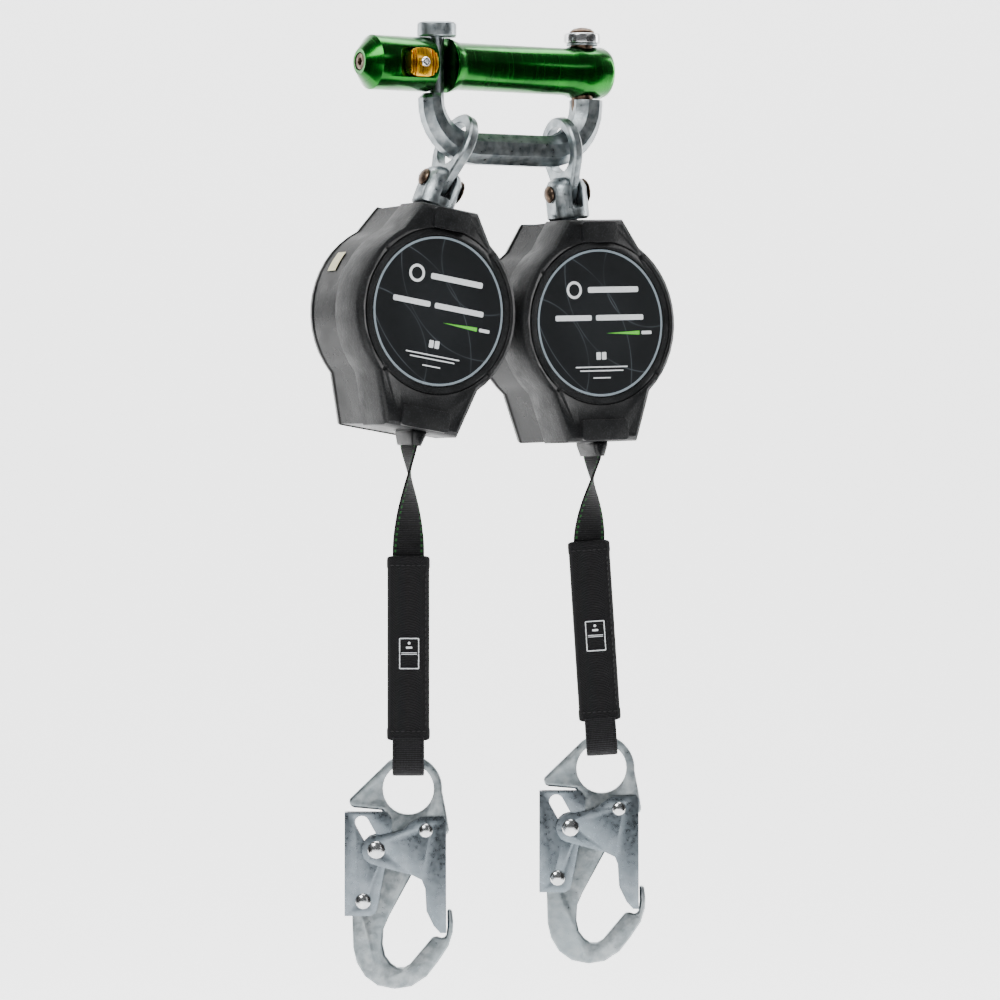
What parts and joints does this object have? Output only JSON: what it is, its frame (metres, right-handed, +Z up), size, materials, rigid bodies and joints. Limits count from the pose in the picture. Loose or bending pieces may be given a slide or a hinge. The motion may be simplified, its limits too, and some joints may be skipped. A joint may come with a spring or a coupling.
{
  "type": "self retracting lifeline",
  "caption": "Twin-leg personal retracting lifeline: a locking barrel connector with a bail, two ring-hung web retractors and two double-locking snap hooks.",
  "frame": {"origin": "on the connector barrel's axis, midway between the legs of the bail, where a harness holds the part up", "axes": "+X along the barrel towards its pivot, +Y away from the label side, +Z up"},
  "size_m": [0.2173, 0.0653, 0.5642],
  "materials": {
    "green_anodised": "bright anodised green",
    "gold_anodised": "gold anodised",
    "zinc_plate": "zinc plated forging, satin",
    "bronze_rivet": "dark bronze oxide",
    "bright_steel": "bright",
    "black_polymer": "textured moulding",
    "label_film": "printed film",
    "black_webbing": "woven webbing",
    "sleeve_fabric": "woven sleeve",
    "spring_steel": "oiled steel"
  },
  "bodies": {
    "bail": {"bail": "zinc_plate", "pivot_rivet": "bronze_rivet", "pivot_collar": "bright_steel", "pivot_washer": "zinc_plate"},
    "barrel": {"barrel": "green_anodised", "nose_screw": "bronze_rivet", "plunger_spring": "spring_steel"},
    "button": {"slide_button": "gold_anodised", "button_screw": "bright_steel", "lock_plunger": "spring_steel"},
    "eye_l": {"eye_l": "zinc_plate"},
    "clevis_l": {"clevis_l": "zinc_plate", "clevis_rivet_l": "bronze_rivet"},
    "swivel_l": {"swivel_block_l": "spring_steel"},
    "case_l": {"front_cover_l": "black_polymer", "rear_cover_l": "black_polymer", "label_disc_l": "label_film", "frame_l": "spring_steel", "ratchet_ring_l": "spring_steel", "power_spring_l": "spring_steel", "webbing_nozzle_l": "black_polymer"},
    "drum_l": {"axle_l": "bright_steel", "drum_l": "spring_steel", "webbing_coil_l": "black_webbing"},
    "pawl_a_l": {"pawl_a_l": "bright_steel"},
    "pawl_b_l": {"pawl_b_l": "bright_steel"},
    "lanyard_l": {"webbing_l": "black_webbing", "label_sleeve_l": "sleeve_fabric", "hook_loop_l": "black_webbing"},
    "hook_l": {"hook_body_l": "zinc_plate", "gate_rivet_l": "bright_steel", "lock_rivet_l": "bright_steel"},
    "gate_l": {"gate_l": "zinc_plate", "link_rivet_l": "bright_steel"},
    "lock_l": {"lock_lever_l": "zinc_plate"},
    "eye_r": {"eye_r": "zinc_plate"},
    "clevis_r": {"clevis_r": "zinc_plate", "clevis_rivet_r": "bronze_rivet"},
    "swivel_r": {"swivel_block_r": "spring_steel"},
    "case_r": {"front_cover_r": "black_polymer", "rear_cover_r": "black_polymer", "label_disc_r": "label_film", "frame_r": "spring_steel", "ratchet_ring_r": "spring_steel", "power_spring_r": "spring_steel", "webbing_nozzle_r": "black_polymer"},
    "drum_r": {"axle_r": "bright_steel", "drum_r": "spring_steel", "webbing_coil_r": "black_webbing"},
    "pawl_a_r": {"pawl_a_r": "bright_steel"},
    "pawl_b_r": {"pawl_b_r": "bright_steel"},
    "lanyard_r": {"webbing_r": "black_webbing", "label_sleeve_r": "sleeve_fabric", "hook_loop_r": "black_webbing"},
    "hook_r": {"hook_body_r": "zinc_plate", "gate_rivet_r": "bright_steel", "lock_rivet_r": "bright_steel"},
    "gate_r": {"gate_r": "zinc_plate", "link_rivet_r": "bright_steel"},
    "lock_r": {"lock_lever_r": "zinc_plate"}
  },
  "joints": [
    {"name": "barrel_swing", "type": "hinge", "parent": "bail", "child": "barrel", "pos_m": [0.05, 0, 0], "axis": [0, 0, -1], "range_deg": [0, 100]},
    {"name": "button_slide", "type": "slide", "parent": "barrel", "child": "button", "axis": [-1, 0, 0], "range_m": [0, 0.0045], "stiffness_N_per_m": 400, "springref_m": -0.005, "deforming": ["plunger_spring"]},
    {"name": "eye_swing_l", "type": "hinge", "parent": "bail", "child": "eye_l", "pos_m": [-0.03716, 0, -0.04568], "axis": [1, 0, 0], "range_deg": [-35, 35]},
    {"name": "clevis_pivot_l", "type": "hinge", "parent": "eye_l", "child": "clevis_l", "pos_m": [-0.04773, 0, -0.06998], "axis": [0.9171, 0, -0.3987], "range_deg": [-20, 20]},
    {"name": "stem_swivel_l", "type": "hinge", "parent": "clevis_l", "child": "swivel_l", "pos_m": [-0.05894, 0, -0.09575], "axis": [0.3987, 0, 0.9171], "range_deg": [-5, 5]},
    {"name": "case_rock_l", "type": "hinge", "parent": "swivel_l", "child": "case_l", "pos_m": [-0.05894, 0, -0.09575], "axis": [0, 1, 0], "range_deg": [0, 14]},
    {"name": "drum_spin_l", "type": "hinge", "parent": "case_l", "child": "drum_l", "pos_m": [-0.06659, 0, -0.14516], "axis": [0, 1, 0], "range_deg": [0, 3700]},
    {"name": "pawl_a_swing_l", "type": "hinge", "parent": "drum_l", "child": "pawl_a_l", "pos_m": [-0.05374, 0, -0.14715], "axis": [0, 1, 0], "range_deg": [0, 10], "stiffness_Nm_per_rad": 0.02, "springref_deg": -11.46},
    {"name": "pawl_b_swing_l", "type": "hinge", "parent": "drum_l", "child": "pawl_b_l", "pos_m": [-0.07943, 0, -0.14317], "axis": [0, 1, 0], "range_deg": [0, 10], "stiffness_Nm_per_rad": 0.02, "springref_deg": -11.46},
    {"name": "payout_l", "type": "slide", "parent": "case_l", "child": "lanyard_l", "axis": [0, 0, -1], "range_m": [0, 1.7], "stiffness_N_per_m": 3, "springref_m": -3, "deforming": ["webbing_l"]},
    {"name": "hook_swing_l", "type": "hinge", "parent": "lanyard_l", "child": "hook_l", "pos_m": [-0.079, -0.017, -0.4057], "axis": [0.8572, -0.515, 0], "range_deg": [-45, 45]},
    {"name": "gate_open_l", "type": "hinge", "parent": "hook_l", "child": "gate_l", "pos_m": [-0.07026, -0.02225, -0.4453], "axis": [0.515, 0.8572, 0], "range_deg": [0, 28], "stiffness_Nm_per_rad": 0.1, "springref_deg": -28.65},
    {"name": "lock_press_l", "type": "hinge", "parent": "hook_l", "child": "lock_l", "pos_m": [-0.10129, -0.00361, -0.4863], "axis": [0.515, 0.8572, 0], "range_deg": [0, 7.6]},
    {"name": "eye_swing_r", "type": "hinge", "parent": "bail", "child": "eye_r", "pos_m": [0.03596, 0, -0.04568], "axis": [1, 0, 0], "range_deg": [-35, 35]},
    {"name": "clevis_pivot_r", "type": "hinge", "parent": "eye_r", "child": "clevis_r", "pos_m": [0.03896, 0, -0.07201], "axis": [0.9936, 0, 0.1132], "range_deg": [-20, 20]},
    {"name": "stem_swivel_r", "type": "hinge", "parent": "clevis_r", "child": "swivel_r", "pos_m": [0.04215, 0, -0.09993], "axis": [-0.1132, 0, 0.9936], "range_deg": [-5, 5]},
    {"name": "case_rock_r", "type": "hinge", "parent": "swivel_r", "child": "case_r", "pos_m": [0.04215, 0, -0.09993], "axis": [0, 1, 0], "range_deg": [-14, 0]},
    {"name": "drum_spin_r", "type": "hinge", "parent": "case_r", "child": "drum_r", "pos_m": [0.04389, 0, -0.1499], "axis": [0, 1, 0], "range_deg": [0, 3700]},
    {"name": "pawl_a_swing_r", "type": "hinge", "parent": "drum_r", "child": "pawl_a_r", "pos_m": [0.05688, 0, -0.14944], "axis": [0, 1, 0], "range_deg": [0, 10], "stiffness_Nm_per_rad": 0.02, "springref_deg": -11.46},
    {"name": "pawl_b_swing_r", "type": "hinge", "parent": "drum_r", "child": "pawl_b_r", "pos_m": [0.0309, 0, -0.15035], "axis": [0, 1, 0], "range_deg": [0, 10], "stiffness_Nm_per_rad": 0.02, "springref_deg": -11.46},
    {"name": "payout_r", "type": "slide", "parent": "case_r", "child": "lanyard_r", "axis": [0, 0, -1], "range_m": [0, 1.7], "stiffness_N_per_m": 3, "springref_m": -3, "deforming": ["webbing_r"]},
    {"name": "hook_swing_r", "type": "hinge", "parent": "lanyard_r", "child": "hook_r", "pos_m": [0.053, -0.017, -0.3972], "axis": [0.8572, -0.515, 0], "range_deg": [-45, 45]},
    {"name": "gate_open_r", "type": "hinge", "parent": "hook_r", "child": "gate_r", "pos_m": [0.06174, -0.02225, -0.4368], "axis": [0.515, 0.8572, 0], "range_deg": [0, 28], "stiffness_Nm_per_rad": 0.1, "springref_deg": -28.65},
    {"name": "lock_press_r", "type": "hinge", "parent": "hook_r", "child": "lock_r", "pos_m": [0.03071, -0.00361, -0.4778], "axis": [0.515, 0.8572, 0], "range_deg": [0, 7.6]}
  ],
  "couplings": [
    {"joint": "drum_spin_l", "follows": "payout_l", "rad_per_m": 37.7},
    {"joint": "lock_press_l", "follows": "gate_open_l", "ratio": 0.27},
    {"joint": "drum_spin_r", "follows": "payout_r", "rad_per_m": 37.7},
    {"joint": "lock_press_r", "follows": "gate_open_r", "ratio": 0.27}
  ]
}
